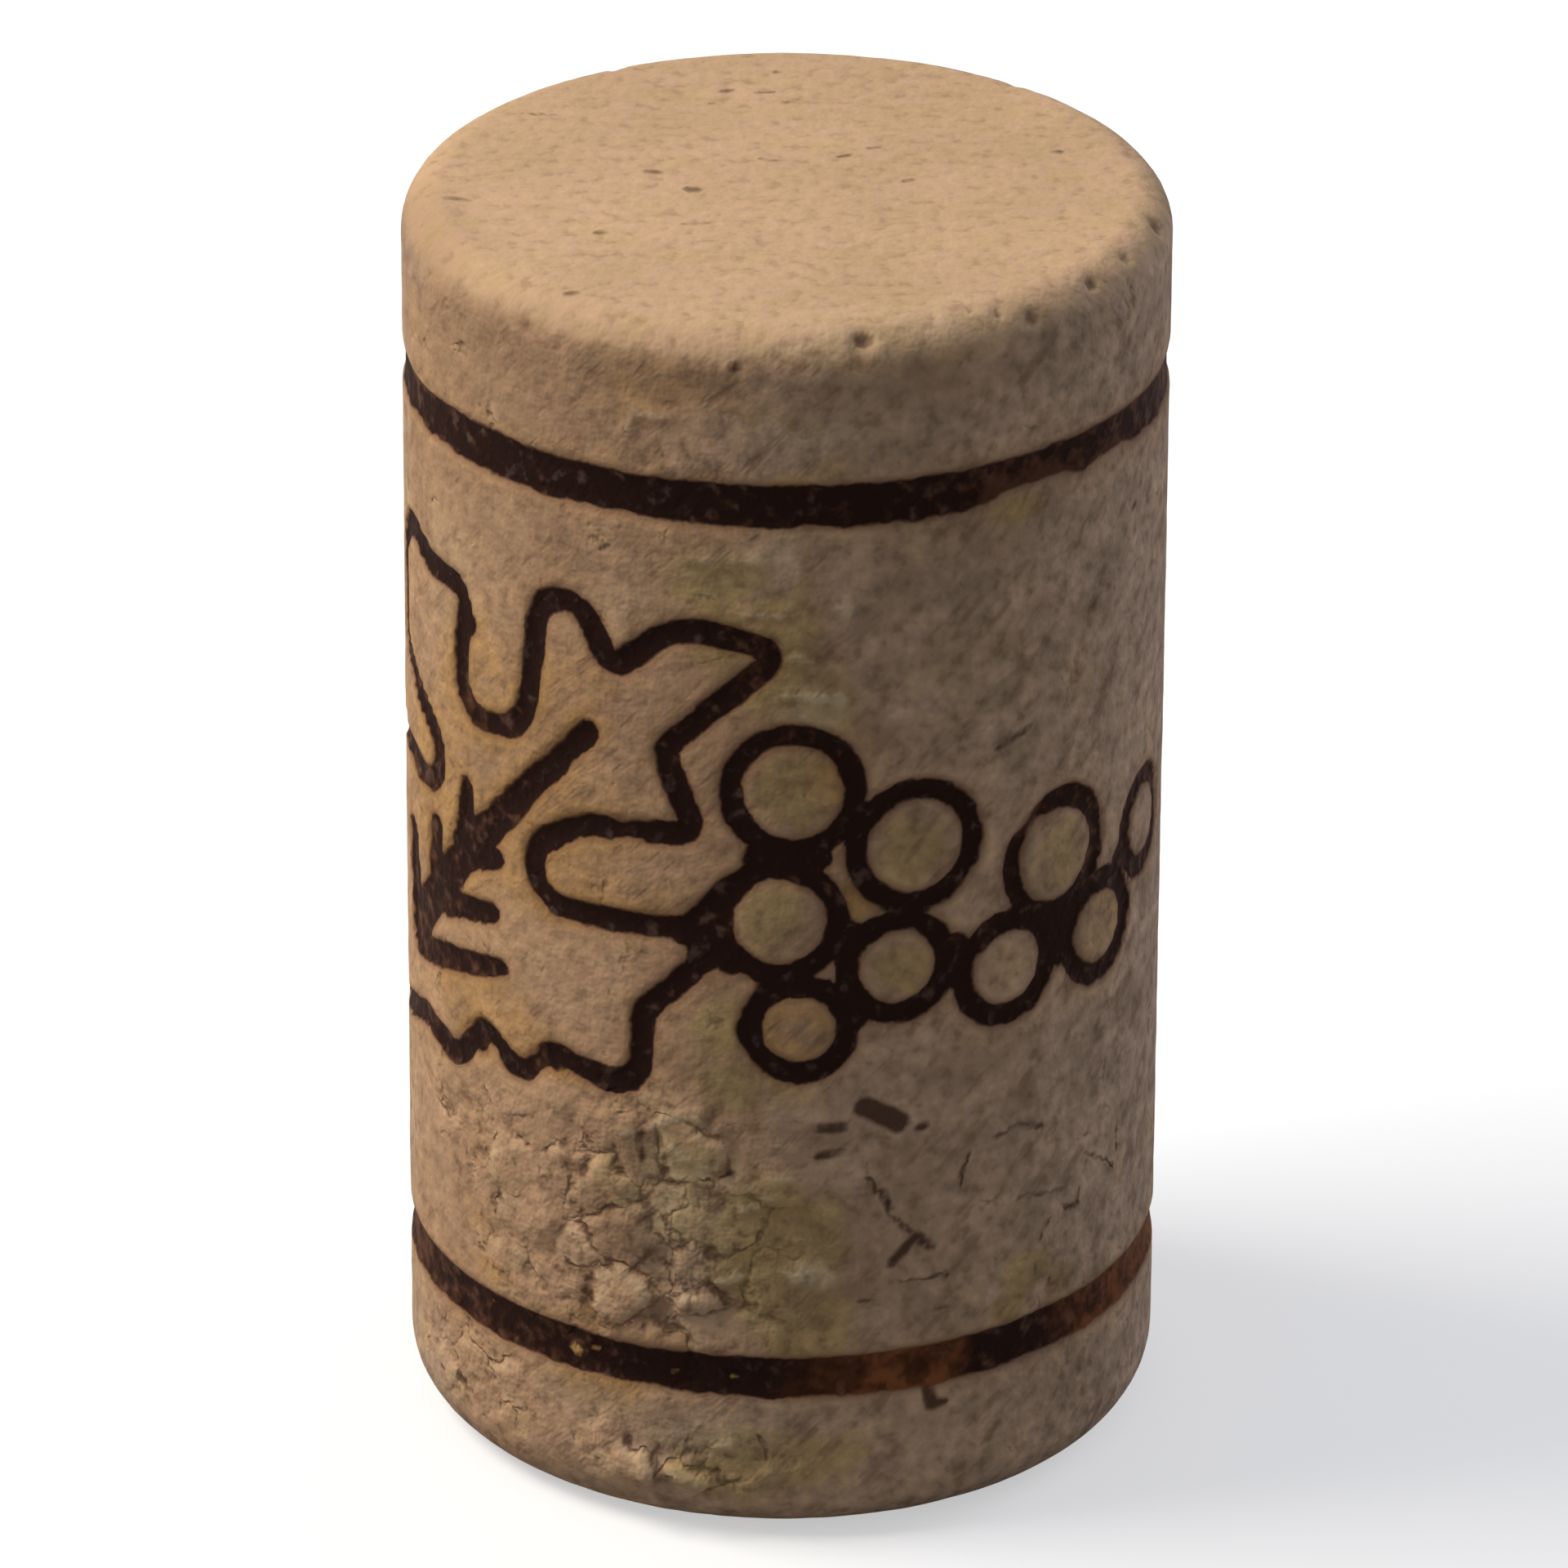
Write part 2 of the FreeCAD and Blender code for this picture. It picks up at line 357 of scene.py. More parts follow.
# Dents in the upper rim: place round it, radius, depth, height
RIM_DENTS = (
    (2.25, 0.42, 0.26, 37.70),
    (4.50, 0.26, 0.12, 37.95),
    (5.80, 0.24, 0.12, 37.95),
    (6.55, 0.28, 0.16, 37.80),
    (7.60, 0.40, 0.16, 37.50),
    (10.4, 0.40, 0.16, 37.70),
    (12.4, 0.35, 0.14, 37.75),
    (15.2, 0.45, 0.16, 37.60),
    (-8.00, 0.45, 0.12, 37.10),
    (20.0, 0.45, 0.08, 37.90),
    (27.0, 0.40, 0.10, 37.90),
    (-20.0, 0.45, 0.08, 37.90),
    (-29.0, 0.40, 0.10, 37.90),
)

# Each stroke below has its start, its end, and its half width at the start and at the end.

# Dark stains and wide cracks
STAINS = (
    (2.38, 14.05, 3.36, 13.42, 0.34, 0.34),
    (1.00, 13.40, 1.70, 13.42, 0.14, 0.18),
    (1.02, 12.52, 1.72, 12.66, 0.12, 0.10),
    (3.95, 13.10, 4.20, 13.20, 0.10, 0.12),
    (-5.95, 7.40, -5.75, 7.15, 0.15, 0.13),
    (-1.45, 37.05, -1.33, 37.08, 0.14, 0.13),
    (4.36, 4.68, 4.50, 4.05, 0.17, 0.22),
    (4.60, 4.02, 4.92, 4.05, 0.16, 0.12),
    (9.90, 27.85, 10.30, 28.10, 0.10, 0.08),
    (12.20, 30.15, 12.40, 30.25, 0.08, 0.08),
    (2.30, 7.78, 2.80, 7.66, 0.08, 0.07),
    (2.92, 11.22, 3.16, 10.62, 0.12, 0.10),
    (2.54, 11.60, 2.62, 11.36, 0.10, 0.11),
    (3.88, 9.60, 3.22, 8.90, 0.15, 0.16),
    (3.95, 9.62, 4.42, 9.20, 0.20, 0.15),
    (4.88, 8.18, 4.95, 8.18, 0.11, 0.10),
    (4.60, 7.14, 4.90, 7.15, 0.07, 0.06),
    (6.50, 12.26, 6.70, 12.28, 0.08, 0.06),
    (5.30, 11.05, 5.50, 10.75, 0.06, 0.05),
    (11.60, 9.42, 11.72, 9.33, 0.10, 0.09),
    (6.35, 24.62, 7.05, 24.86, 0.10, 0.09),
    (7.05, 24.86, 7.62, 25.02, 0.08, 0.06),
    (-4.10, 12.95, -4.20, 12.70, 0.12, 0.10),
    (-4.18, 12.50, -4.12, 12.05, 0.09, 0.12),
    (-3.35, 12.30, -3.55, 12.05, 0.07, 0.05),
    (-11.02, 10.27, -10.93, 10.02, 0.09, 0.06),
    (-10.08, 8.45, -10.02, 8.45, 0.09, 0.08),
    (-12.42, 7.06, -12.36, 7.06, 0.08, 0.08),
    (-9.57, 7.05, -9.30, 6.85, 0.06, 0.08),
    (-9.00, 6.95, -8.68, 6.70, 0.08, 0.05),
    (-9.92, 34.17, -9.86, 34.17, 0.09, 0.08),
    (-10.90, 36.52, -10.55, 36.56, 0.07, 0.05),
    (8.00, 7.60, 8.15, 7.10, 0.06, 0.05),
    (8.50, 7.20, 8.75, 6.75, 0.05, 0.07),
)

# Thin cracks
HAIRLINES = (
    (2.42, 12.20, 2.61, 11.33, 0.03, 0.05),
    (3.10, 10.80, 3.18, 10.56, 0.04, 0.04),
    (3.18, 10.56, 3.75, 9.80, 0.02, 0.03),
    (3.50, 8.30, 4.85, 8.20, 0.02, 0.03),
    (6.75, 12.30, 7.33, 12.32, 0.03, 0.03),
    (7.33, 12.32, 8.26, 12.02, 0.02, 0.02),
    (5.58, 11.88, 5.27, 11.09, 0.02, 0.04),
    (10.20, 10.40, 11.10, 9.86, 0.02, 0.04),
    (11.10, 9.86, 11.60, 9.42, 0.04, 0.04),
    (8.62, 8.83, 8.23, 8.50, 0.04, 0.04),
    (9.89, 9.28, 9.79, 8.93, 0.04, 0.03),
    (9.79, 8.93, 9.13, 9.11, 0.03, 0.02),
    (7.37, 9.96, 9.10, 9.60, 0.02, 0.02),
    (11.04, 12.56, 11.16, 12.98, 0.04, 0.03),
    (11.83, 10.49, 12.00, 9.88, 0.04, 0.04),
    (-2.25, 11.65, -1.50, 11.95, 0.04, 0.04),
    (-0.60, 3.40, -0.50, 2.70, 0.04, 0.04),
)

# Pale flakes that stand up a little, their paleness partly a painted highlight
HIGHLIT_FLECKS = (
    (-3.90, 13.10, -3.30, 13.50, 0.05, 0.09),
    (-3.30, 13.50, -2.30, 13.74, 0.09, 0.05),
    (-3.20, 12.60, -2.80, 12.30, 0.13, 0.10),
    (-4.75, 12.80, -4.45, 12.85, 0.08, 0.08),
    (-1.30, 10.75, -0.75, 10.85, 0.09, 0.12),
    (0.35, 9.85, 0.75, 9.90, 0.08, 0.07),
    (0.38, 8.72, 0.80, 8.60, 0.17, 0.15),
    (-0.15, 12.87, 0.30, 12.76, 0.08, 0.06),
    (0.05, 28.18, 0.80, 28.15, 0.04, 0.05),
    (0.05, 27.10, 1.60, 26.98, 0.10, 0.16),
    (-4.45, 35.25, -3.30, 35.40, 0.06, 0.03),
    (-4.60, 34.60, -4.48, 35.10, 0.03, 0.05),
    (-1.40, 31.27, -0.60, 31.23, 0.05, 0.06),
    (1.45, 29.80, 1.84, 29.66, 0.12, 0.12),
    (-2.10, 8.30, -1.20, 8.60, 0.10, 0.14),
    (-2.90, 7.70, -2.50, 7.90, 0.08, 0.08),
    (-0.40, 11.85, 0.50, 11.95, 0.03, 0.05),
    (-2.75, 31.10, -2.15, 31.15, 0.06, 0.08),
    (-0.30, 28.60, 0.90, 28.10, 0.06, 0.04),
    (-1.20, 29.55, 0.20, 29.60, 0.04, 0.03),
    (-1.95, 3.05, -1.35, 3.10, 0.09, 0.05),
    (-4.10, 1.90, -3.60, 1.85, 0.06, 0.09),
)

# Flecks of bare cork in the lower band
AMBER_FLECKS = (
    (-6.42, 5.34, -6.28, 5.24, 0.14, 0.16),
    (-5.66, 5.51, -5.62, 5.51, 0.11, 0.11),
    (-9.60, 5.70, -9.45, 5.60, 0.05, 0.05),
    (-3.20, 5.20, -3.05, 5.25, 0.08, 0.06),
    (-1.40, 5.30, -1.30, 5.30, 0.06, 0.07),
)

# Dark spots and dashes on the upper end, seen from above, across and away from the front
END_SPOTS = (
    (-1.80, 7.00, -1.70, 7.02, 0.17, 0.15),
    (-0.80, 6.95, -0.42, 6.97, 0.11, 0.07),
    (-0.32, 8.47, -0.24, 8.45, 0.09, 0.08),
    (-3.92, 0.94, -3.70, 0.86, 0.12, 0.14),
    (-2.70, -0.38, -2.56, -0.40, 0.18, 0.17),
    (-9.60, -1.13, -9.04, -1.32, 0.10, 0.08),
    (-5.26, -3.60, -5.16, -3.63, 0.14, 0.12),
    (-6.02, -7.93, -5.88, -7.95, 0.14, 0.12),
    (-2.91, -2.96, -2.05, -2.82, 0.04, 0.05),
    (-0.72, 1.90, -0.09, 1.71, 0.05, 0.06),
    (-7.65, 5.26, -6.64, 5.11, 0.03, 0.04),
    (-2.20, 6.05, -1.95, 6.00, 0.05, 0.05),
    (-0.05, 6.15, 0.34, 6.40, 0.08, 0.06),
    (1.45, 2.04, 1.78, 2.22, 0.06, 0.08),
    (2.36, 2.70, 2.75, 2.85, 0.04, 0.06),
    (3.38, 0.28, 3.60, 0.40, 0.10, 0.06),
    (7.72, 2.57, 7.82, 2.57, 0.11, 0.10),
)


def rim_point(across, up, out):
    """Place in the object's space, this far out from the axis."""
    angle = across / RADIUS
    return Vector((out * math.sin(angle), -out * math.cos(angle), up))


def profile():
    """Rows of the body from its lower to its upper end: distance out and height of each."""
    rows = []
    flat = RADIUS - BOTTOM_EDGE
    count = round(flat / BOTTOM_STEP)
    for i in range(1, count):
        rows.append((flat * i / count, 0.0))
    count = round(BOTTOM_EDGE * math.pi / 2 / EDGE_STEP)
    for i in range(count):
        angle = math.pi / 2 * i / count
        rows.append((flat + BOTTOM_EDGE * math.sin(angle), BOTTOM_EDGE * (1 - math.cos(angle))))
    straight = LENGTH - BOTTOM_EDGE - TOP_EDGE
    count = round(straight / SIDE_STEP)
    for i in range(count):
        rows.append((RADIUS, BOTTOM_EDGE + straight * i / count))
    flat = RADIUS - TOP_EDGE
    count = round(TOP_EDGE * math.pi / 2 / EDGE_STEP)
    for i in range(count):
        angle = math.pi / 2 * i / count
        up = LENGTH - TOP_EDGE + TOP_EDGE * math.sin(angle)
        rows.append((flat + TOP_EDGE * math.cos(angle), up))
    count = round(flat / TOP_STEP)
    for i in range(count):
        rows.append((flat * (1 - i / count), LENGTH))
    return np.array(rows)


def unwrapped(point):
    """Place on the side of a point of the solid's mesh."""
    return math.atan2(point.x, -point.y) * RADIUS, point.z / MM


def mark_fields():
    """Two search trees of the solid's side laid flat: the floor of the marks, and the rest."""
    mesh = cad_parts["cork"].data
    mesh.calc_loop_triangles()
    turn = 2 * math.pi * RADIUS
    near = 0.01
    floor = []
    land = []
    for triangle in mesh.loop_triangles:
        points = [mesh.vertices[i].co for i in triangle.vertices]
        outs = [math.hypot(point.x, point.y) / MM for point in points]
        if all(abs(out - BURN_FLOOR) < near for out in outs):
            kind = floor
        elif all(abs(out - RADIUS) < near for out in outs):
            kind = land
        else:
            continue
        flat = [unwrapped(point) for point in points]
        first = flat[0][0]
        flat = [(across - turn * round((across - first) / turn), up) for across, up in flat]
        for shift in (-turn, 0, turn):
            moved = [Vector((across + shift, up, 0)) for across, up in flat]
            if any(abs(corner.x) < turn / 2 + FAR for corner in moved):
                kind.append(moved)
    trees = []
    for kind in (floor, land):
        corners = [corner for triangle in kind for corner in triangle]
        faces = [(i, i + 1, i + 2) for i in range(0, len(corners), 3)]
        trees.append(BVHTree.FromPolygons(corners, faces))
    return trees


def burn_reach(across, up, floor, land):
    """Distance into the burnt marks, in millimetres, below zero outside them."""
    place = Vector((across, up, 0))
    to_floor = floor.find_nearest(place, FAR)[3]
    to_land = land.find_nearest(place, FAR)[3]
    if to_floor is None:
        return -FAR
    if to_land is None:
        return FAR
    return to_land - to_floor


def put_values(mesh, name, values):
    """Stores one number or one place for each vertex of the mesh."""
    values = np.asarray(values, np.float32)
    kind = "FLOAT_VECTOR" if values.ndim == 2 else "FLOAT"
    field = "vector" if values.ndim == 2 else "value"
    layer = mesh.attributes.new(name, kind, "POINT")
    layer.data.foreach_set(field, values.ravel())


def home_places(mesh):
    """Place of each vertex before the relief moves it."""
    home = np.zeros(len(mesh.vertices) * 3, np.float32)
    mesh.attributes["home"].data.foreach_get("vector", home)
    return home.reshape(-1, 3)


def body_mesh():
    """Turned body with even columns, and its attributes: home place and reach of the burning."""
    rows = profile()
    turns = -math.pi + 2 * math.pi * np.arange(COLUMNS) / COLUMNS
    out, turn = np.meshgrid(rows[:, 0], turns, indexing="ij")
    up = np.repeat(rows[:, 1], COLUMNS).reshape(out.shape)
    places = np.stack([out * np.sin(turn), -out * np.cos(turn), up], -1).reshape(-1, 3)
    home = np.concatenate([places, [(0, 0, 0), (0, 0, LENGTH)]])

    count = len(rows)
    lower = np.arange(count - 1)[:, None] * COLUMNS
    column = np.arange(COLUMNS)[None, :]
    following = (column + 1) % COLUMNS
    quads = np.stack([lower + column, lower + following,
                      lower + COLUMNS + following, lower + COLUMNS + column], -1).reshape(-1, 4)
    base = len(places)
    last = (count - 1) * COLUMNS
    fans = [(base, (k + 1) % COLUMNS, k) for k in range(COLUMNS)]
    fans += [(last + k, last + (k + 1) % COLUMNS, base + 1) for k in range(COLUMNS)]
    mesh = bpy.data.meshes.new("cork_body")
    mesh.from_pydata((home * MM).tolist(), [], quads.tolist() + fans)

    burn = np.full(len(home), -FAR)
    floor, land = mark_fields()
    on_side = (rows[:, 1] > BOTTOM_EDGE - CLOSE) & (rows[:, 1] < LENGTH - TOP_EDGE + CLOSE)
    for row in np.nonzero(on_side)[0]:
        for k in range(COLUMNS):
            burn[row * COLUMNS + k] = burn_reach(
                turns[k] * RADIUS, rows[row, 1], floor, land)
    put_values(mesh, "home", home)
    put_values(mesh, "burn", burn)
    mesh.shade_smooth()
    return mesh


def ease(values):
    """Smooth step from 0 to 1 over the values from 0 to 1."""
    clipped = np.clip(values, 0, 1)
    return clipped * clipped * (3 - 2 * clipped)


def patch(across, up, middle_across, middle_up, half_across, half_up):
    """Soft round patch on the side: 1 round its middle, 0 from its edge on."""
    firmness = 1.35
    reach = np.hypot((across - middle_across) / half_across, (up - middle_up) / half_up)
    return ease(firmness * (1 - reach))


def place_field(across, up, places, everywhere=0.0):
    """Strength of a set of places over the side."""
    field = np.full(len(across), everywhere)
    for middle_across, middle_up, half_across, half_up, strength in places:
        shape = patch(across, up, middle_across, middle_up, half_across, half_up)
        field = np.maximum(field, shape * strength)
    return field


def streak_places(home):
    """Place of each vertex in the space of the side's streaks, where they run along one axis."""
    turn = np.arctan2(home[:, 0], -home[:, 1]) - STREAK_LEAN * home[:, 2] / RADIUS
    leaning = np.stack([RADIUS * np.sin(turn), -RADIUS * np.cos(turn), home[:, 2]], -1)
    return leaning * STREAK_STRETCH


def rim_dents(home):
    """Depth of the rim's dents at each vertex."""
    firmness = 1.3
    depth = np.zeros(len(home))
    for across, size, deep, up in RIM_DENTS:
        rise = max(up - (LENGTH - TOP_EDGE), 0.0)
        out = RADIUS - TOP_EDGE + math.sqrt(max(TOP_EDGE ** 2 - rise ** 2, 0.0))
        middle = np.array(rim_point(across, up, out))
        reach = np.linalg.norm(home - middle, axis=1)
        depth = np.maximum(depth, deep * ease(firmness * (1 - reach / size)))
    return depth


def stroke_fields(place, strokes):
    """For each place, how far it is inside the nearest stroke, and how far to that one's left."""
    reach = np.full(len(place), -FAR)
    left = np.zeros(len(place))
    for start_across, start_up, end_across, end_up, start_half, end_half in strokes:
        start = np.array((start_across, start_up))
        run = np.array((end_across, end_up)) - start
        offset = place - start
        share = np.clip(offset @ run / (run @ run), 0, 1)
        gap = offset - share[:, None] * run
        inside = start_half + (end_half - start_half) * share - np.hypot(gap[:, 0], gap[:, 1])
        turned = (run[0] * offset[:, 1] - run[1] * offset[:, 0]) / np.hypot(run[0], run[1])
        nearer = inside > reach
        reach = np.where(nearer, inside, reach)
        left = np.where(nearer, turned, left)
    return reach, left


def lay_flat(mesh):
    """Map of the surface: the side as one strip, with the two ends below it."""
    layer = mesh.uv_layers.new(name="OFBake")
    count = len(mesh.loops)
    corner = np.zeros(count, np.int32)
    mesh.loops.foreach_get("vertex_index", corner)
    home = home_places(mesh)[corner]
    face = np.zeros(count, np.int64)
    for polygon in mesh.polygons:
        face[polygon.loop_start:polygon.loop_start + polygon.loop_total] = polygon.index
    middle_up = np.bincount(face, home[:, 2]) / np.bincount(face)
    middle_up = middle_up[face]
    turn = np.arctan2(home[:, 0], -home[:, 1])
    centre = np.bincount(face, home[:, 0]), np.bincount(face, home[:, 1])
    centre_turn = np.arctan2(centre[0], -centre[1])[face]
    turn += 2 * math.pi * np.round((centre_turn - turn) / (2 * math.pi))
    margin = 0.01
    scale = (1 - 2 * margin) / (2 * math.pi * RADIUS)
    u = 0.5 + turn * RADIUS * scale
    v = 1 - margin - (LENGTH - home[:, 2]) * scale
    for is_end, middle in ((middle_up > LENGTH - CLOSE, 0.25), (middle_up < CLOSE, 0.75)):
        u = np.where(is_end, middle + home[:, 0] * scale, u)
        v = np.where(is_end, margin + (RADIUS + home[:, 1]) * scale, v)
    layer.data.foreach_set("uv", np.stack([u, v], -1).astype(np.float32).ravel())


def side_share(home):
    """How far each vertex belongs to the side: 1 there, 0 on the flat of an end."""
    rim = 2.5
    fade = 1.5
    return ease((np.hypot(home[:, 0], home[:, 1]) - RADIUS + rim) / fade)


def put_wear(mesh):
    """Stores where the cork is broken, coloured, dented, stained and flecked."""
    home = home_places(mesh)
    across = np.arctan2(home[:, 0], -home[:, 1]) * RADIUS
    up = home[:, 2]
    side = side_share(home)
    broken = place_field(across, up, BROKEN_PLACES, BROKEN_ON_SIDE)
    put_values(mesh, "broken", broken * side + BROKEN_ON_ENDS * (1 - side))
    for name, places in (
            ("olive", OLIVE_PLACES), ("amber", AMBER_PLACES), ("smoke_and_shade", SMOKY_AND_SHADED_PLACES),
            ("pale", PALE_AND_HIGHLIT_PLACES)):
        put_values(mesh, name, place_field(across, up, places) * side)
    put_values(mesh, "tanned", place_field(across, up, TANNED_PLACES))
    put_values(mesh, "worn", place_field(across, up, WORN_PLACES))
    put_values(mesh, "streak_place", streak_places(home))
    put_values(mesh, "dent", rim_dents(home))
    flat = np.stack([across, up], -1)
    for name, strokes in (("stain", STAINS), ("fleck", HIGHLIT_FLECKS), ("amber_fleck", AMBER_FLECKS)):
        put_values(mesh, name, stroke_fields(flat, strokes)[0])
    put_values(mesh, "spot", stroke_fields(home[:, :2], END_SPOTS)[0])
    reach, left = stroke_fields(flat, HAIRLINES)
    put_values(mesh, "hairline", reach)
    put_values(mesh, "hairline_left", left)


def cork_body():
    """The whole cork as one dense piece."""
    mesh = body_mesh()
    put_wear(mesh)
    rough = bpy.data.objects.new("cork_rough", mesh)
    bpy.context.scene.collection.objects.link(rough)
    modifier = rough.modifiers.new("relief", "NODES")
    modifier.node_group = relief_tree()
    graph = bpy.context.evaluated_depsgraph_get()
    shaped = rough.evaluated_get(graph)
    finished = bpy.data.meshes.new_from_object(
        shaped, preserve_all_data_layers=True, depsgraph=graph)
    bpy.data.objects.remove(rough)
    lay_flat(finished)
    body = bpy.data.objects.new("cork_body", finished)
    bpy.context.scene.collection.objects.link(body)
    return body


def add(tree, kind, inputs=None, **settings):
    """New node in a tree, with its settings, and its inputs given as values or as sockets."""
    node = tree.nodes.new(kind)
    for name, value in settings.items():
        setattr(node, name, value)
    for name, value in (inputs or {}).items():
        if isinstance(value, bpy.types.NodeSocket):
            tree.links.new(value, node.inputs[name])
        else:
            node.inputs[name].default_value = value
    return node


def math_of(tree, operation, first, second=0.0, third=0.0):
    """Result of one step of arithmetic on numbers or sockets."""
    values = {0: first, 1: second, 2: third}
    return add(tree, "ShaderNodeMath", values, operation=operation).outputs[0]


def times(tree, first, second):
    return math_of(tree, "MULTIPLY", first, second)


def plus(tree, first, second):
    return math_of(tree, "ADD", first, second)


def less(tree, first, second):
    return math_of(tree, "SUBTRACT", first, second)


def larger(tree, first, second):
    return math_of(tree, "MAXIMUM", first, second)


def weighted(tree, value, weight, rest):
    """Value times its weight, plus the rest."""
    return math_of(tree, "MULTIPLY_ADD", value, weight, rest)


def vector_math(tree, operation, first, second):
    values = {0: first, 1: second}
    return add(tree, "ShaderNodeVectorMath", values, operation=operation).outputs[0]


def ramp(tree, value, start, end, low=0.0, high=1.0):
    """Smooth step of a value between two limits."""
    values = {"Value": value, "From Min": start, "From Max": end, "To Min": low, "To Max": high}
    node = add(tree, "ShaderNodeMapRange", values, interpolation_type="SMOOTHSTEP")
    return node.outputs["Result"]


def noise(tree, place, scale, detail=3.0, roughness=0.5, stretch=None):
    """Noise node on a place, or on that place stretched along its axes."""
    if stretch:
        place = vector_math(tree, "MULTIPLY", place, stretch)
    values = {"Vector": place, "Scale": scale, "Detail": detail, "Roughness": roughness}
    return add(tree, "ShaderNodeTexNoise", values)


def mixed(tree, share, first, second):
    """Colour between two colours, which are values or sockets."""
    node = add(tree, "ShaderNodeMix", data_type="RGBA")
    for index, value in ((6, first), (7, second)):
        if isinstance(value, tuple):
            node.inputs[index].default_value = value + (1.0,)
        else:
            tree.links.new(value, node.inputs[index])
    tree.links.new(share, node.inputs[0])
    return node.outputs[2]


def shaded(tree, colour, level):
    """Colour times a level."""
    levels = add(tree, "ShaderNodeCombineXYZ", {0: level, 1: level, 2: level}).outputs[0]
    return vector_math(tree, "MULTIPLY", colour, levels)


def new_group(name, kind, inputs, outputs):
    """Empty node group with its named sockets, and its input and output nodes."""
    tree = bpy.data.node_groups.new(name, kind)
    for label, socket in inputs.items():
        tree.interface.new_socket(label, in_out="INPUT", socket_type=socket)
    for label, socket in outputs.items():
        tree.interface.new_socket(label, in_out="OUTPUT", socket_type=socket)
    return tree, tree.nodes.new("NodeGroupInput"), tree.nodes.new("NodeGroupOutput")


def granule_group(kind):
    """Pressed grains: tone and hue of each, its rise on its own slant, and how far its edge is."""
    tree, source, result = new_group(
        "cork_granules_" + kind, kind,
        {"Place": "NodeSocketVector"},
        {"Tone": "NodeSocketFloat", "Hue": "NodeSocketFloat", "Tilt": "NodeSocketFloat",
         "Edge": "NodeSocketFloat"})
    place = source.outputs["Place"]
    bend = noise(tree, place, BENDS_PER_MM, 2.0).outputs["Color"]
    bend = vector_math(tree, "SUBTRACT", bend, (0.5, 0.5, 0.5))
    bend = vector_math(tree, "MULTIPLY", bend, GRANULE_BEND)
    bent = vector_math(tree, "MULTIPLY", vector_math(tree, "ADD", place, bend), GRANULE_SQUASH)
    cells = {"Vector": bent, "Scale": GRANULES_PER_MM, "Randomness": GRANULE_DISORDER}
    grain = add(tree, "ShaderNodeTexVoronoi", cells, feature="F1")
    border = add(tree, "ShaderNodeTexVoronoi", cells, feature="DISTANCE_TO_EDGE")
    parts = add(tree, "ShaderNodeSeparateXYZ", {0: grain.outputs["Color"]})
    tree.links.new(parts.outputs["X"], result.inputs["Tone"])
    tree.links.new(parts.outputs["Y"], result.inputs["Hue"])
    slant = vector_math(tree, "SUBTRACT", grain.outputs["Color"], (0.5, 0.5, 0.5))
    offset = vector_math(tree, "SUBTRACT", bent, grain.outputs["Position"])
    rise = add(tree, "ShaderNodeVectorMath", {0: offset, 1: slant}, operation="DOT_PRODUCT")
    tree.links.new(rise.outputs["Value"], result.inputs["Tilt"])
    edge = math_of(tree, "DIVIDE", border.outputs["Distance"], GRANULES_PER_MM)
    tree.links.new(edge, result.inputs["Edge"])
    return tree


def placed_granules(tree, kind, home):
    """The pressed grains as one node of a tree, whose kind is Shader or Geometry."""
    node = tree.nodes.new(kind + "NodeGroup")
    node.node_tree = granule_group(kind + "NodeTree")
    tree.links.new(home, node.inputs["Place"])
    return node


def relief_tree():
    """Moves the body's surface in and out: sunk marks, uneven grains, cracks and lumps."""
    tree, source, result = new_group(
        "cork_relief", "GeometryNodeTree",
        {"Geometry": "NodeSocketGeometry"}, {"Geometry": "NodeSocketGeometry"})

    def kept(name, kind="FLOAT"):
        return add(tree, "GeometryNodeInputNamedAttribute", {"Name": name}, data_type=kind).outputs[0]

    home = kept("home", "FLOAT_VECTOR")
    grains = placed_granules(tree, "Geometry", home)
    edge = grains.outputs["Edge"]
    apart = ramp(tree, kept("broken"), 0.15, 0.65)
    step = times(tree, plus(tree, grains.outputs["Tone"], -0.5), GRANULE_STEP)
    step = weighted(tree, grains.outputs["Tilt"], GRANULE_TILT, step)
    step = times(tree, step, ramp(tree, edge, 0.0, GRANULE_EDGE))
    height = times(tree, step, apart)
    crack = ramp(tree, edge, 0.0, CRACK_WIDTH, -CRACK_DEPTH, 0.0)
    height = weighted(tree, crack, apart, height)
    wave = plus(tree, noise(tree, home, WAVES_PER_MM, 2.0).outputs[0], -0.5)
    height = weighted(tree, wave, WAVE_HEIGHT, height)
    lump = plus(tree, noise(tree, home, LUMPS_PER_MM, 2.0).outputs[0], -0.5)
    height = weighted(tree, lump, LUMP_HEIGHT, height)
    height = less(tree, height, kept("dent"))
    height = plus(tree, height, ramp(tree, kept("fleck"), -0.14, 0.06, 0.0, FLAKE_HEIGHT))
    height = less(tree, height, ramp(tree, kept("burn"), -0.06, 0.08, 0.0, BURN_DEPTH))
    height = times(tree, height, MM)
    normal = tree.nodes.new("GeometryNodeInputNormal").outputs[0]
    offset = add(tree, "ShaderNodeVectorMath", {0: normal, "Scale": height}, operation="SCALE")
    moved = add(tree, "GeometryNodeSetPosition",
                {"Geometry": source.outputs["Geometry"], "Offset": offset.outputs[0]})
    tree.links.new(moved.outputs["Geometry"], result.inputs["Geometry"])
    return tree


def stored(tree, name, output="Fac"):
    """What the mesh stores under a name."""
    return add(tree, "ShaderNodeAttribute", attribute_name=name).outputs[output]


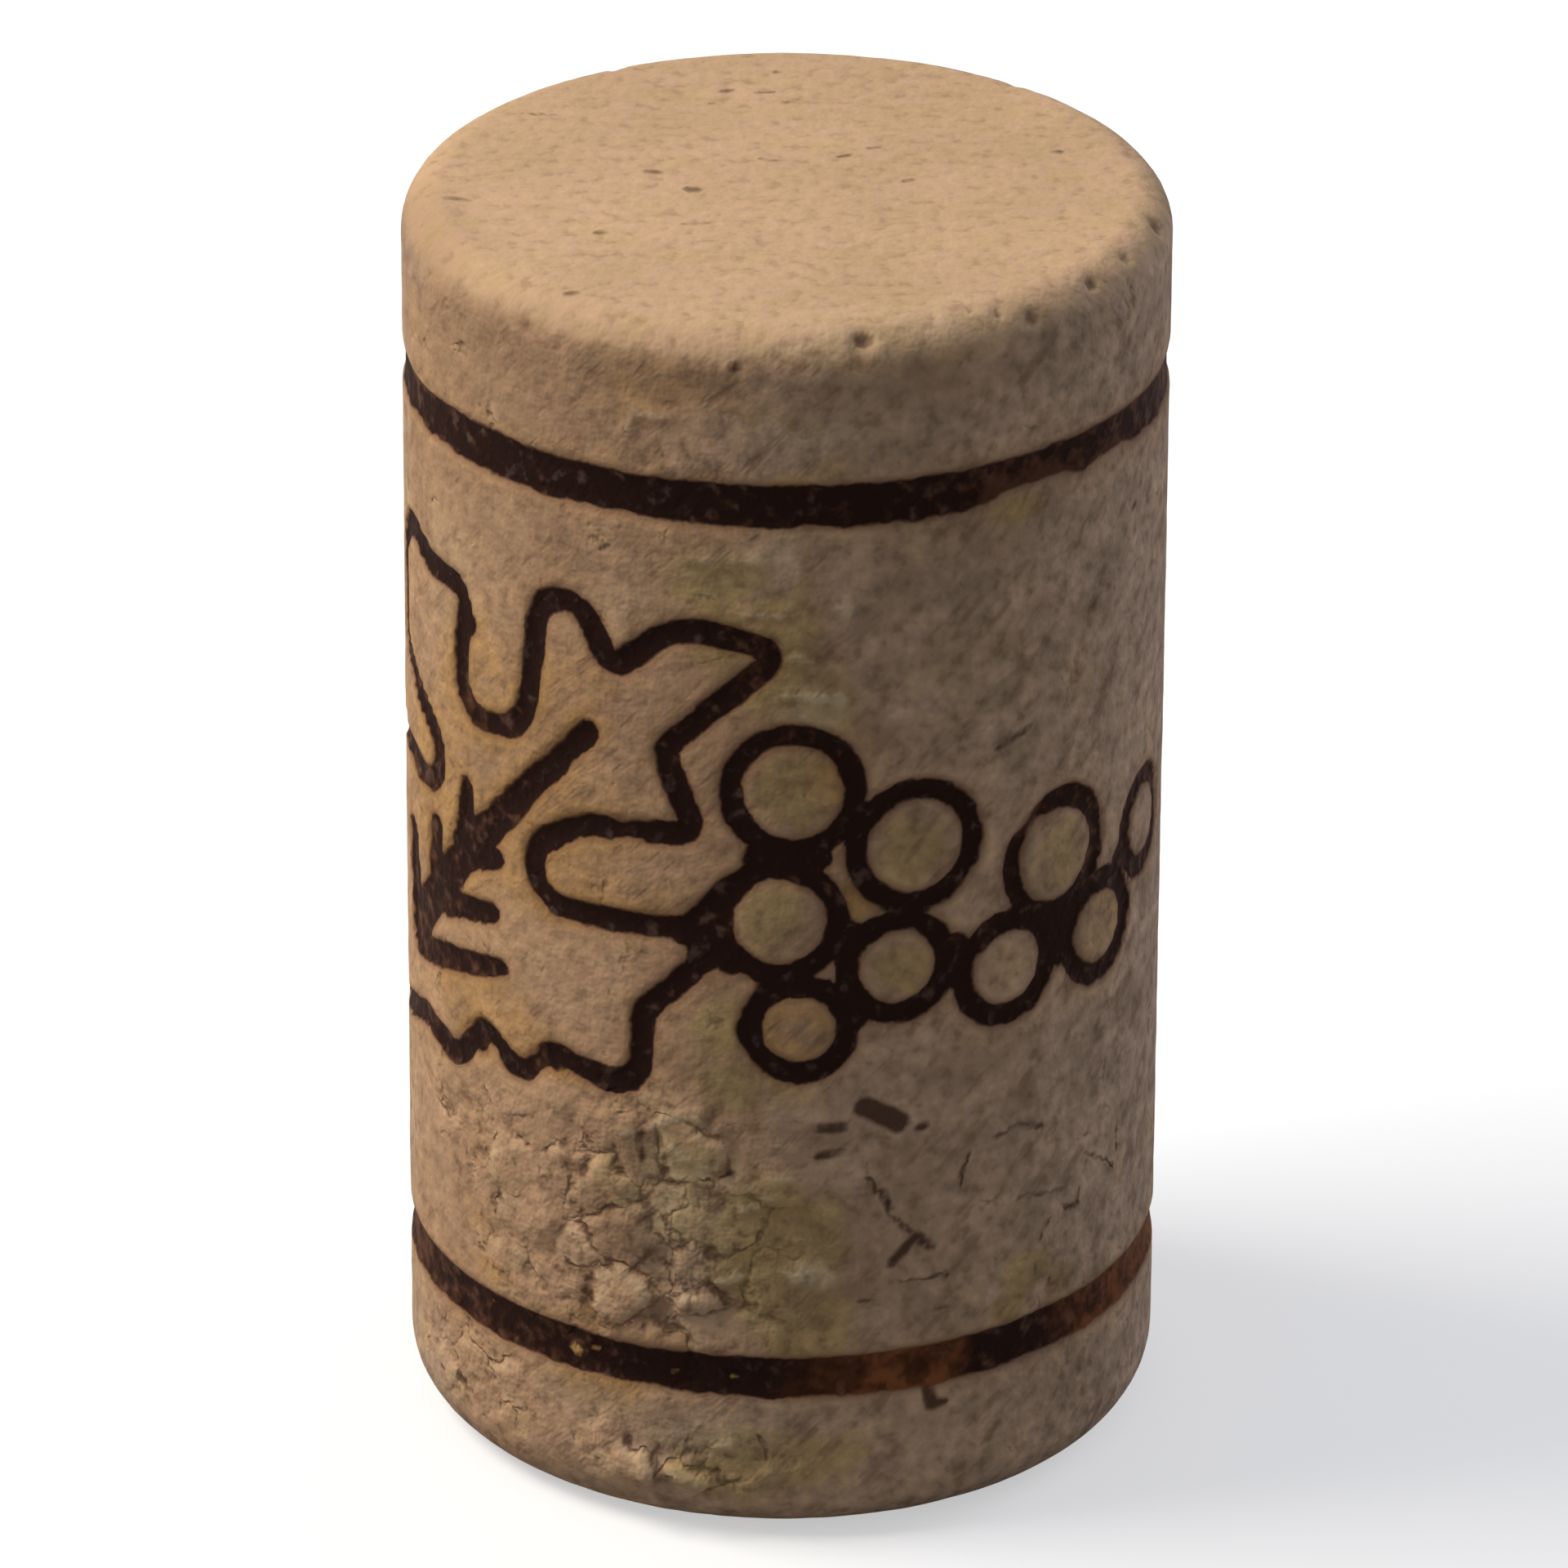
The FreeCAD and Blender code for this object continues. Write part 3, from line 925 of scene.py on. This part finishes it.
def values_here(tree):
    """What the steps of the cork's colour read at each place of its surface."""
    here = SimpleNamespace(relief=[])
    here.home = stored(tree, "home", "Vector")
    for name in ("burn", "broken", "amber", "tanned", "worn"):
        setattr(here, name, stored(tree, name))
    parts = add(tree, "ShaderNodeSeparateXYZ", {0: here.home})
    turn = math_of(tree, "ARCTAN2", parts.outputs["X"], times(tree, parts.outputs["Y"], -1.0))
    here.across = times(tree, turn, RADIUS)
    here.up = parts.outputs["Z"]
    here.right_front = ramp(tree, here.across, *RIGHT_OF_FRONT)
    here.upper_end = ramp(tree, here.up, *UPPER_END)
    here.end = larger(tree, here.upper_end, ramp(tree, here.up, *LOWER_END))
    here.side = less(tree, 1.0, here.end)

    here.broad = noise(tree, here.home, BROAD_PER_MM, 1.0).outputs[0]
    here.middling = noise(tree, here.home, MIDDLING_PER_MM, 3.0, 0.60).outputs[0]
    here.crumbs = noise(tree, here.home, CRUMBS_PER_MM, 2.0, 0.52).outputs[0]
    here.jitter = weighted(tree, here.crumbs, 0.44, -0.22)
    leaning = stored(tree, "streak_place", "Vector")
    on_side = noise(tree, leaning, STREAKS_PER_MM, 2.0, 0.55).outputs[0]
    on_end = noise(tree, here.home, STREAKS_PER_MM, 2.0, 0.55, END_STREAK_STRETCH).outputs[0]
    here.streaks = plus(tree, times(tree, on_side, here.side), times(tree, on_end, here.end))

    grains = placed_granules(tree, "Shader", here.home)
    here.tone = grains.outputs["Tone"]
    here.hue = grains.outputs["Hue"]
    here.edge = grains.outputs["Edge"]
    return here


def scorched(tree, here, colour):
    """Colour with amber round the burnt marks and in the scorched places."""
    halo = ramp(tree, plus(tree, here.crumbs, here.burn), -0.60, 0.50)
    halo = times(tree, halo, ramp(tree, here.amber, 0.0, 0.6, 0.20, 0.90))
    patches = times(tree, here.amber, ramp(tree, here.middling, 0.34, 0.60, 0.25, 1.0))
    return mixed(tree, times(tree, larger(tree, halo, patches), AMBER_SHARE), colour, AMBER)


def bare_side(tree, here):
    """Colour of the bare cork on the side: warm on the left of the front, cooler on the right, with
    painted light near the foot on the right of the front.
    """
    warm = weighted(tree, here.hue, 0.30, weighted(tree, here.broad, 0.8, plus(tree, here.tanned, -0.70)))
    warm = less(tree, warm, ramp(tree, here.across, *COOLER_LEFT, 0.0, 0.55))
    colour = mixed(tree, ramp(tree, warm, 0.0, 0.55), MAUVE, TAN)
    yellow = plus(tree, here.middling, weighted(tree, here.hue, 0.30, stored(tree, "olive")))
    colour = mixed(tree, ramp(tree, yellow, 0.66, 1.30, 0.0, OLIVE_SHARE), colour, OLIVE)
    colour = scorched(tree, here, colour)
    grain = times(tree, plus(tree, here.tone, -0.5), ramp(tree, here.broken, 0.2, 0.8, 0.16, 0.28))
    cloud = times(tree, plus(tree, here.middling, -0.5), ramp(tree, here.tanned, 0.2, 0.9, 1.10, 0.75))
    level = plus(tree, plus(tree, grain, cloud), 1.0)
    # Painted light: lighter near the foot, from the front to the right, where the floor's contact shade
    # falls.
    painted_light = ramp(tree, here.across, *PAINTED_LIGHT_RIGHT, 0.0, 0.15)
    painted_light = times(tree, painted_light, ramp(tree, here.up, *PAINTED_LIGHT_FOOT))
    painted_light = times(tree, painted_light, here.right_front)
    return shaded(tree, colour, plus(tree, level, painted_light))


def bare_end(tree, here):
    """Colour of the bare cork on the ends."""
    colour = mixed(tree, ramp(tree, here.middling, 0.36, 0.64), END_TAN, END_PINK)
    level = weighted(tree, here.middling, 0.30, ramp(tree, here.broad, 0.3, 0.7, 0.80, 0.90))
    return shaded(tree, colour, level)


def smudged(tree, here, colour):
    """Colour with the smoky places, partly painted shade under and on the upper rim, and the paler
    places, one of them a painted highlight on the rim.
    """
    # Smoky places, partly painted shade under and on the upper rim.
    smoke_and_shade = times(tree, stored(tree, "smoke_and_shade"), ramp(tree, here.crumbs, 0.30, 0.60, 0.5, 1.0))
    colour = mixed(tree, smoke_and_shade, colour, SMOKE_AND_SHADE)
    # Paler places, one of them a painted highlight on the front of the upper rim.
    pale = times(tree, stored(tree, "pale"), ramp(tree, here.middling, 0.32, 0.60, 0.55, 1.0))
    return mixed(tree, pale, colour, PALE_AND_HIGHLIGHT)


def crumbled(tree, here, colour):
    """Colour with crumbs, the dark gaps between them, and streaks."""
    contrast = times(tree, ramp(tree, here.tanned, 0.2, 0.9, 1.10, 0.65), here.side)
    contrast = weighted(tree, here.end, 0.30, contrast)
    colour = shaded(tree, colour, weighted(tree, plus(tree, here.crumbs, -0.5), contrast, 1.0))
    loose = ramp(tree, here.broken, 0.1, 0.7, 0.35, 1.0)
    gap = times(tree, ramp(tree, here.crumbs, 0.44, 0.30), loose)
    colour = mixed(tree, times(tree, gap, GAP_SHARE), colour, GAP)
    streak = times(tree, ramp(tree, here.streaks, 0.53, 0.70), ramp(tree, here.middling, 0.60, 0.44))
    share = times(tree, ramp(tree, here.tanned, 0.2, 0.9, 0.50, 0.26), here.side)
    streak = times(tree, streak, weighted(tree, here.end, 0.15, share))
    here.relief.append((STREAK_DEPTH, streak))
    return mixed(tree, streak, colour, GAP)


def cracked(tree, here, colour):
    """Colour with cracks between the grains, partly painted shade, painted highlights on their lips,
    pits, and painted shade in the rim's dents.
    """
    near = weighted(tree, here.crumbs, 0.50, here.edge)
    gate = ramp(tree, weighted(tree, here.broken, 0.50, here.middling), 0.68, 0.94)
    gate = times(tree, gate, here.side)
    crack = times(tree, ramp(tree, near, 0.18, 0.44, 1.0, 0.0), gate)
    # Dark lines along the grains' edges: partly real cracks, partly painted shade in them.
    colour = mixed(tree, times(tree, crack, CRACK_SHADE_SHARE), colour, STAIN_AND_SHADE)
    # Pale lips on the raised grains beside the cracks: painted highlight where the grains' edges catch
    # the light.
    lip_highlight = times(tree, ramp(tree, near, 0.40, 0.52), ramp(tree, near, 0.90, 0.56))
    lip_highlight = times(tree, times(tree, lip_highlight, gate), ramp(tree, here.tone, 0.45, 0.85))
    colour = mixed(tree, times(tree, lip_highlight, LIP_HIGHLIGHT_SHARE), colour, PALE_AND_HIGHLIGHT)
    pit = ramp(tree, noise(tree, here.home, PITS_PER_MM, 2.0, 0.6).outputs[0], 0.66, 0.76)
    pit = times(tree, times(tree, pit, here.side), ramp(tree, here.broken, 0.15, 0.6, 0.5, 1.0))
    colour = mixed(tree, times(tree, pit, PIT_SHARE), colour, GAP)
    # The rim's dents are darkened by their depth: painted shade.
    dent = ramp(tree, stored(tree, "dent"), 0.03, 0.18)
    here.relief += [(FINE_CRACK_DEPTH, crack), (PIT_DEPTH, pit)]
    return mixed(tree, times(tree, dent, DENT_SHADE_SHARE), colour, STAIN_AND_SHADE)


def ragged(tree, here, name, soft, raggedness=1.0):
    """Shape of the strokes with this name, with a soft and ragged edge."""
    reach = weighted(tree, here.jitter, raggedness, stored(tree, name))
    return ramp(tree, reach, -soft, soft)


def hairlines(tree, here):
    """Shape of the thin cracks, which wander to either side of their strokes."""
    reach = stored(tree, "hairline")
    aside = weighted(tree, here.middling, 1.1, plus(tree, stored(tree, "hairline_left"), -0.55))
    aside = math_of(tree, "ABSOLUTE", weighted(tree, here.jitter, 0.9, aside))
    shape = times(tree, ramp(tree, aside, 0.01, 0.14, 1.0, 0.0), ramp(tree, reach, -0.22, 0.0))
    shape = larger(tree, shape, ramp(tree, plus(tree, reach, here.jitter), -0.02, 0.10))
    return times(tree, shape, ramp(tree, here.crumbs, 0.64, 0.48, 0.40, 1.0))


def stained(tree, here, colour):
    """Colour with the stains, the flakes with their painted highlight, thin cracks and spots that have
    their own places.
    """
    hairline = hairlines(tree, here)
    spot = times(tree, ragged(tree, here, "spot", 0.12, 0.7), here.upper_end)
    for shape, share, paint in (
            (ragged(tree, here, "stain", 0.10, 0.5), STAIN_SHARE, STAIN_AND_SHADE),
            # Pale flakes: partly painted highlight.
            (ragged(tree, here, "fleck", 0.10), FLECK_HIGHLIGHT_SHARE, PALE_AND_HIGHLIGHT),
            (hairline, HAIRLINE_SHARE, STAIN_AND_SHADE),
            (spot, SPOT_SHARE, STAIN_AND_SHADE)):
        colour = mixed(tree, times(tree, shape, share), colour, paint)
    here.relief += [(HAIRLINE_DEPTH, hairline), (SPOT_DEPTH, spot)]
    return colour


def char_colour(tree, here):
    """Colour inside the burnt marks: black to brown, rusty on the lower band, with grey painted
    highlights.
    """
    low_band = ramp(tree, here.up, *LOW_BAND)
    brown = plus(tree, here.worn, weighted(tree, here.broad, 0.6, here.crumbs))
    at_right = ramp(tree, here.across, *BROWNER_RIGHT, 0.0, 0.14)
    brown = weighted(tree, here.right_front, at_right, brown)
    from_left = math_of(tree, "ABSOLUTE", plus(tree, here.across, -BROWNER_LEFT))
    at_left = ramp(tree, from_left, *BROWNER_LEFT_REACH, 0.0, 0.15)
    brown = weighted(tree, low_band, at_left, brown)
    colour = mixed(tree, ramp(tree, brown, 0.82, 1.14), CHAR, BROWN_CHAR)
    rusty = ramp(tree, here.across, *RUST_BEGINS)
    rusty = times(tree, rusty, ramp(tree, here.across, *RUST_STOPS))
    rusty = larger(tree, rusty, ramp(tree, here.across, *RUST_AGAIN, 0.0, RUST_AGAIN_SHARE))
    rusty = times(tree, times(tree, rusty, here.right_front), low_band)
    rusty = times(tree, rusty, ramp(tree, here.middling, 0.38, 0.60, 0.30, 1.0))
    rusty = times(tree, rusty, ramp(tree, here.crumbs, 0.36, 0.54, 0.45, 1.0))
    colour = mixed(tree, rusty, colour, RUST)
    # Grey blotches on the char: painted highlight.
    char_highlight = weighted(tree, here.streaks, 0.5, here.crumbs)
    return mixed(tree, ramp(tree, char_highlight, 0.82, 1.02, 0.0, CHAR_HIGHLIGHT_SHARE), colour, CHAR_HIGHLIGHT)


def burnt(tree, here, colour):
    """Colour with the burnt marks, their brown fringe and the flecks of bare cork in them."""
    uneven = weighted(tree, here.middling, 0.34, weighted(tree, here.crumbs, 0.20, -0.27))
    reach = less(tree, plus(tree, here.burn, uneven), here.worn)
    colour = mixed(tree, ramp(tree, reach, -0.26, 0.04, 0.0, SINGE_SHARE), colour, SINGE)
    here.mark = ramp(tree, reach, -0.06, 0.06)
    here.relief.append((FINE_BURN_DEPTH, here.mark))
    colour = mixed(tree, here.mark, colour, char_colour(tree, here))
    return mixed(tree, ragged(tree, here, "amber_fleck", 0.07, 0.4), colour, AMBER)


def fine_relief(tree, here):
    """Normal of the crumbs and of all that is too fine for the mesh."""
    height = times(tree, here.crumbs, ramp(tree, here.broken, 0.1, 0.6, 0.08, 0.15))
    for depth, shape in here.relief:
        height = weighted(tree, shape, -depth, height)
    bump = add(tree, "ShaderNodeBump", {"Height": height, "Distance": MM, "Strength": 1.0})
    return bump.outputs[0]


def cork_material():
    """Pressed cork with its wear and its burnt marks."""
    material = bpy.data.materials.new("pressed_cork")
    material.use_nodes = True
    tree = material.node_tree
    here = values_here(tree)
    colour = mixed(tree, here.end, bare_side(tree, here), bare_end(tree, here))
    for step in (smudged, crumbled, cracked, stained, burnt):
        colour = step(tree, here, colour)
    shader = tree.nodes["Principled BSDF"]
    shader.inputs["Specular IOR Level"].default_value = GLOSS
    tree.links.new(colour, shader.inputs["Base Color"])
    roughness = ramp(tree, here.mark, 0.0, 1.0, CORK_ROUGHNESS, CHAR_ROUGHNESS)
    tree.links.new(roughness, shader.inputs["Roughness"])
    tree.links.new(fine_relief(tree, here), shader.inputs["Normal"])
    return material


def plain_light(tree):
    """Share of the rays that see the plain background: from the camera, a gloss or through glass."""
    path = tree.nodes.new("ShaderNodeLightPath")
    seen = larger(tree, path.outputs["Is Camera Ray"], path.outputs["Is Glossy Ray"])
    return larger(tree, seen, path.outputs["Is Transmission Ray"])


def floor_material():
    """Pale floor that keeps the shadow and looks white away from it."""
    material = bpy.data.materials.new("pale_floor")
    material.use_nodes = True
    tree = material.node_tree
    tree.nodes.remove(tree.nodes["Principled BSDF"])
    place = tree.nodes.new("ShaderNodeNewGeometry").outputs["Position"]
    away = add(tree, "ShaderNodeVectorMath", {0: place}, operation="LENGTH").outputs["Value"]
    glow = ramp(tree, away, GLOW_RISES_FROM, GLOW_RISES_TO, NEAR_GLOW, FAR_GLOW)
    white = add(tree, "ShaderNodeEmission", {"Strength": glow})
    pale = add(tree, "ShaderNodeBsdfDiffuse", {"Color": FLOOR_GREY})
    shown = add(tree, "ShaderNodeAddShader", {0: white.outputs[0], 1: pale.outputs[0]})
    dim = add(tree, "ShaderNodeBsdfDiffuse", {"Color": FLOOR_BOUNCE})
    choice = add(tree, "ShaderNodeMixShader", {
        0: plain_light(tree), 1: dim.outputs[0], 2: shown.outputs[0]})
    tree.links.new(choice.outputs[0], tree.nodes["Material Output"].inputs["Surface"])
    return material


def pale_floor():
    """Round floor that the cork stands on."""
    count = 96
    turns = [2 * math.pi * i / count for i in range(count)]
    ring = [(FLOOR_REACH * math.cos(turn), FLOOR_REACH * math.sin(turn), 0) for turn in turns]
    mesh = bpy.data.meshes.new("floor")
    mesh.from_pydata(ring, [], [tuple(range(count))])
    mesh.materials.append(floor_material())
    floor = bpy.data.objects.new("floor", mesh)
    bpy.context.scene.collection.objects.link(floor)


def lamp(name, turn, rise, distance, size, level, colour):
    """Square lamp aimed at the middle of the cork."""
    data = bpy.data.lights.new(name, "AREA")
    data.size = size
    data.energy = math.pi ** 2 * distance ** 2 * level
    data.color = colour
    away = Vector((
        math.sin(math.radians(turn)) * math.cos(math.radians(rise)),
        -math.cos(math.radians(turn)) * math.cos(math.radians(rise)),
        math.sin(math.radians(rise))))
    item = bpy.data.objects.new(name, data)
    item.location = CAMERA_TARGET * MM + away * distance
    item.rotation_euler = away.to_track_quat("Z", "Y").to_euler()
    bpy.context.scene.collection.objects.link(item)


def sky():
    """Even light from all round, and a white background."""
    world = bpy.data.worlds.new("sky")
    bpy.context.scene.world = world
    world.use_nodes = True
    tree = world.node_tree
    light = tree.nodes["Background"]
    light.inputs["Color"].default_value = SKY + (1.0,)
    light.inputs["Strength"].default_value = 1.0
    white = add(tree, "ShaderNodeBackground", {"Color": (1, 1, 1, 1), "Strength": 1.0})
    choice = add(tree, "ShaderNodeMixShader", {
        0: plain_light(tree), 1: light.outputs[0], 2: white.outputs[0]})
    tree.links.new(choice.outputs[0], tree.nodes["World Output"].inputs["Surface"])


def camera():
    """Camera at the picture's viewing angle."""
    data = bpy.data.cameras.new("camera")
    data.sensor_width = SENSOR
    data.lens = FOCAL_PIXELS / FRAME_PIXELS * SENSOR
    data.clip_start = 0.01
    item = bpy.data.objects.new("camera", data)
    place = CAMERA_TARGET + CAMERA_DISTANCE * Vector(
        (0, -math.cos(CAMERA_HEIGHT_ANGLE), math.sin(CAMERA_HEIGHT_ANGLE)))
    ahead = Vector((0, math.cos(CAMERA_PITCH), -math.sin(CAMERA_PITCH)))
    right = Vector((1, 0, 0))
    above = right.cross(ahead)
    turned_right = math.cos(CAMERA_ROLL) * right + math.sin(CAMERA_ROLL) * above
    turned_above = math.cos(CAMERA_ROLL) * above - math.sin(CAMERA_ROLL) * right
    axes = Matrix((turned_right, turned_above, -ahead)).transposed().to_4x4()
    item.matrix_world = Matrix.Translation(place * MM) @ axes
    bpy.context.scene.collection.objects.link(item)
    bpy.context.scene.camera = item


camera()
sky()
for values in LAMPS:
    lamp(*values)
pale_floor()

body = cork_body()
body.data.materials.clear()
body.data.materials.append(cork_material())
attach(body, "root")
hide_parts("cork")

bpy.context.scene.view_settings.view_transform = "Standard"
